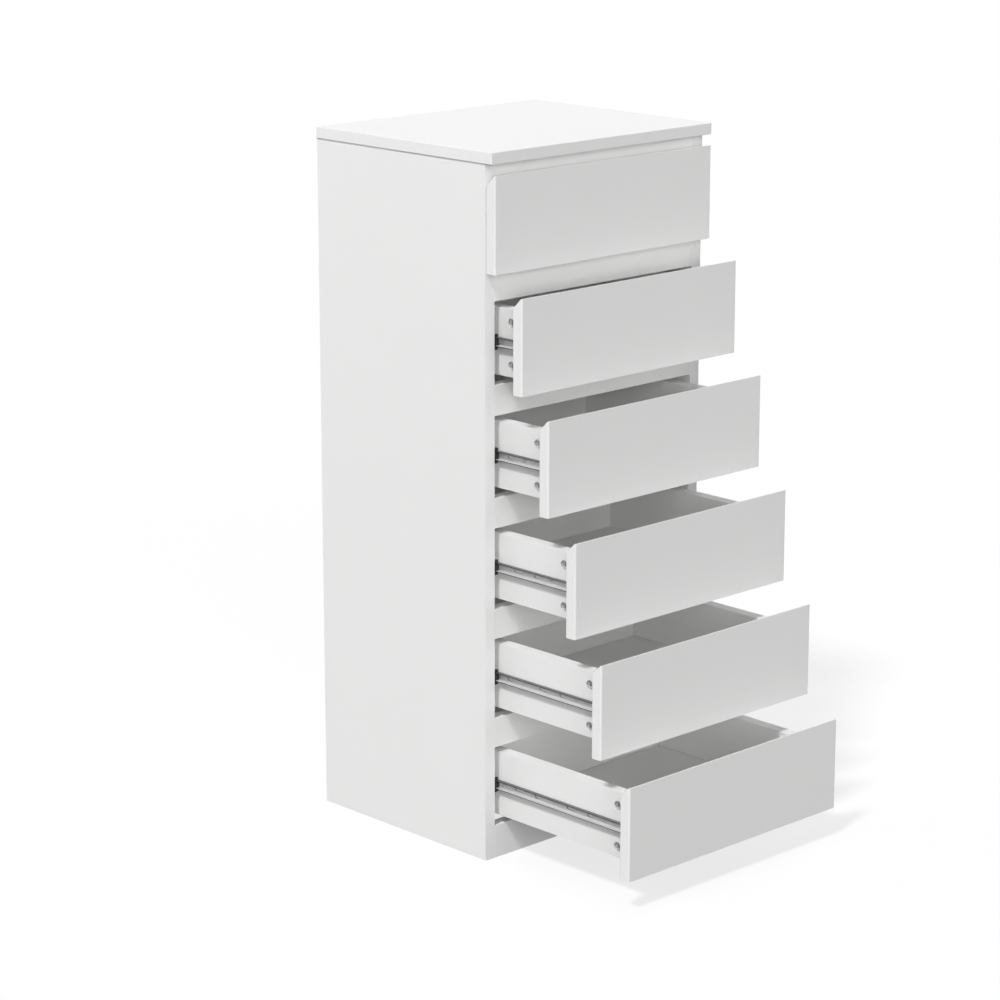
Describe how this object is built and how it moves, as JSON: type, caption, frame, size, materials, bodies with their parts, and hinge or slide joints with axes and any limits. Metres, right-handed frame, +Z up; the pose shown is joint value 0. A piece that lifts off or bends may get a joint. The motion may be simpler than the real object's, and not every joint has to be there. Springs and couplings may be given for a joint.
{
  "type": "tall chest of drawers",
  "caption": "Tall narrow white chest with handle-free drawers on steel ball runners, pulled out in steps from top to bottom; fingers pull a bevelled edge.",
  "frame": {"origin": "on the floor, at the centre of the plinth rail's underside, with the carcass's front plane 10 mm in front of it", "axes": "+Z up, the front faces -Y, +X to the right of someone facing the front"},
  "size_m": [0.48, 0.693, 1.12],
  "materials": {
    "white_melamine": "white melamine foil on particle board, satin, very fine print texture",
    "hardboard": "white lacquered face on thin hardboard, matt",
    "zinc_steel": "bright zinc plate on cold rolled steel"
  },
  "bodies": {
    "root": {"left_side_panel": "white_melamine", "right_side_panel": "white_melamine", "top_panel": "white_melamine", "back_panel": "hardboard", "plinth_rail": "white_melamine", "rear_stretcher": "white_melamine", "divider_rail_1": "white_melamine", "divider_rail_2": "white_melamine", "divider_rail_3": "white_melamine", "divider_rail_4": "white_melamine", "divider_rail_5": "white_melamine", "top_rail": "white_melamine", "cabinet_runner_1_left": "zinc_steel", "cabinet_runner_1_right": "zinc_steel", "cabinet_runner_2_left": "zinc_steel", "cabinet_runner_2_right": "zinc_steel", "cabinet_runner_3_left": "zinc_steel", "cabinet_runner_3_right": "zinc_steel", "cabinet_runner_4_left": "zinc_steel", "cabinet_runner_4_right": "zinc_steel", "cabinet_runner_5_left": "zinc_steel", "cabinet_runner_5_right": "zinc_steel", "cabinet_runner_6_left": "zinc_steel", "cabinet_runner_6_right": "zinc_steel"},
    "drawer_1": {"drawer_1_front": "white_melamine", "drawer_1_left_side": "white_melamine", "drawer_1_right_side": "white_melamine", "drawer_1_back_and_bottom": "white_melamine", "drawer_1_left_runner": "zinc_steel", "drawer_1_right_runner": "zinc_steel"},
    "drawer_2": {"drawer_2_front": "white_melamine", "drawer_2_left_side": "white_melamine", "drawer_2_right_side": "white_melamine", "drawer_2_back_and_bottom": "white_melamine", "drawer_2_left_runner": "zinc_steel", "drawer_2_right_runner": "zinc_steel"},
    "drawer_3": {"drawer_3_front": "white_melamine", "drawer_3_left_side": "white_melamine", "drawer_3_right_side": "white_melamine", "drawer_3_back_and_bottom": "white_melamine", "drawer_3_left_runner": "zinc_steel", "drawer_3_right_runner": "zinc_steel"},
    "drawer_4": {"drawer_4_front": "white_melamine", "drawer_4_left_side": "white_melamine", "drawer_4_right_side": "white_melamine", "drawer_4_back_and_bottom": "white_melamine", "drawer_4_left_runner": "zinc_steel", "drawer_4_right_runner": "zinc_steel"},
    "drawer_5": {"drawer_5_front": "white_melamine", "drawer_5_left_side": "white_melamine", "drawer_5_right_side": "white_melamine", "drawer_5_back_and_bottom": "white_melamine", "drawer_5_left_runner": "zinc_steel", "drawer_5_right_runner": "zinc_steel"},
    "drawer_6": {"drawer_6_front": "white_melamine", "drawer_6_left_side": "white_melamine", "drawer_6_right_side": "white_melamine", "drawer_6_back_and_bottom": "white_melamine", "drawer_6_left_runner": "zinc_steel", "drawer_6_right_runner": "zinc_steel"}
  },
  "joints": [
    {"name": "drawer_1_slide", "type": "slide", "parent": "root", "child": "drawer_1", "axis": [0, -1, 0], "range_m": [0, 0.3]},
    {"name": "drawer_2_slide", "type": "slide", "parent": "root", "child": "drawer_2", "axis": [0, -1, 0], "range_m": [-0.058, 0.242]},
    {"name": "drawer_3_slide", "type": "slide", "parent": "root", "child": "drawer_3", "axis": [0, -1, 0], "range_m": [-0.115, 0.185]},
    {"name": "drawer_4_slide", "type": "slide", "parent": "root", "child": "drawer_4", "axis": [0, -1, 0], "range_m": [-0.173, 0.127]},
    {"name": "drawer_5_slide", "type": "slide", "parent": "root", "child": "drawer_5", "axis": [0, -1, 0], "range_m": [-0.229, 0.071]},
    {"name": "drawer_6_slide", "type": "slide", "parent": "root", "child": "drawer_6", "axis": [0, -1, 0], "range_m": [-0.29, 0.01]}
  ]
}
